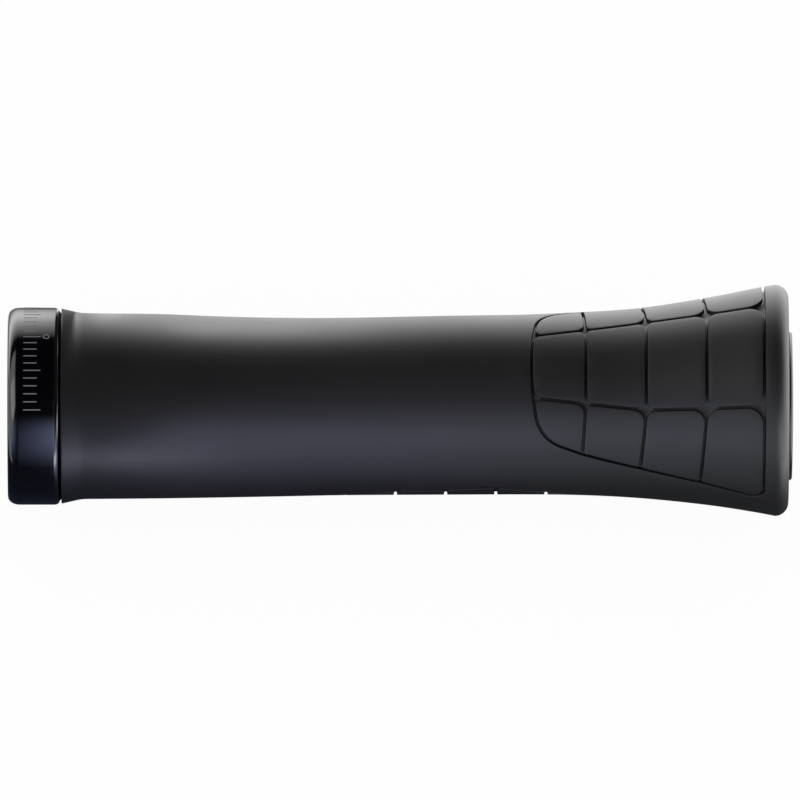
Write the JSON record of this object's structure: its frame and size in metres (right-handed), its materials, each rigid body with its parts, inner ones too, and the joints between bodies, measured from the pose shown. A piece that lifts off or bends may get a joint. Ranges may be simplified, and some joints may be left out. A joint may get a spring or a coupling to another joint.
{
  "type": "handlebar grip",
  "caption": "Lock-on handlebar grip: split clamp ring with an angle scale, waisted rubber body with grooved palm and finger pads, flared flanged outer end and end plug.",
  "frame": {"origin": "on the bar's axis at the clamp ring's inboard face", "axes": "+X along the bar towards the grip's outer end, +Z towards the palm side, +Y across"},
  "size_m": [0.135, 0.0398, 0.0398],
  "materials": {
    "ring_anodised": "gloss black anodised, with a laser-marked scale",
    "bolt_steel": "black oxide",
    "core_nylon": "moulded, matt",
    "grip_rubber": "moulded, satin",
    "plug_plastic": "moulded, satin"
  },
  "bodies": {
    "root": {"clamp_ring": "ring_anodised", "clamp_bolt": "bolt_steel", "core_sleeve": "core_nylon", "rubber_grip": "grip_rubber", "end_plug": "plug_plastic"}
  },
  "joints": []
}
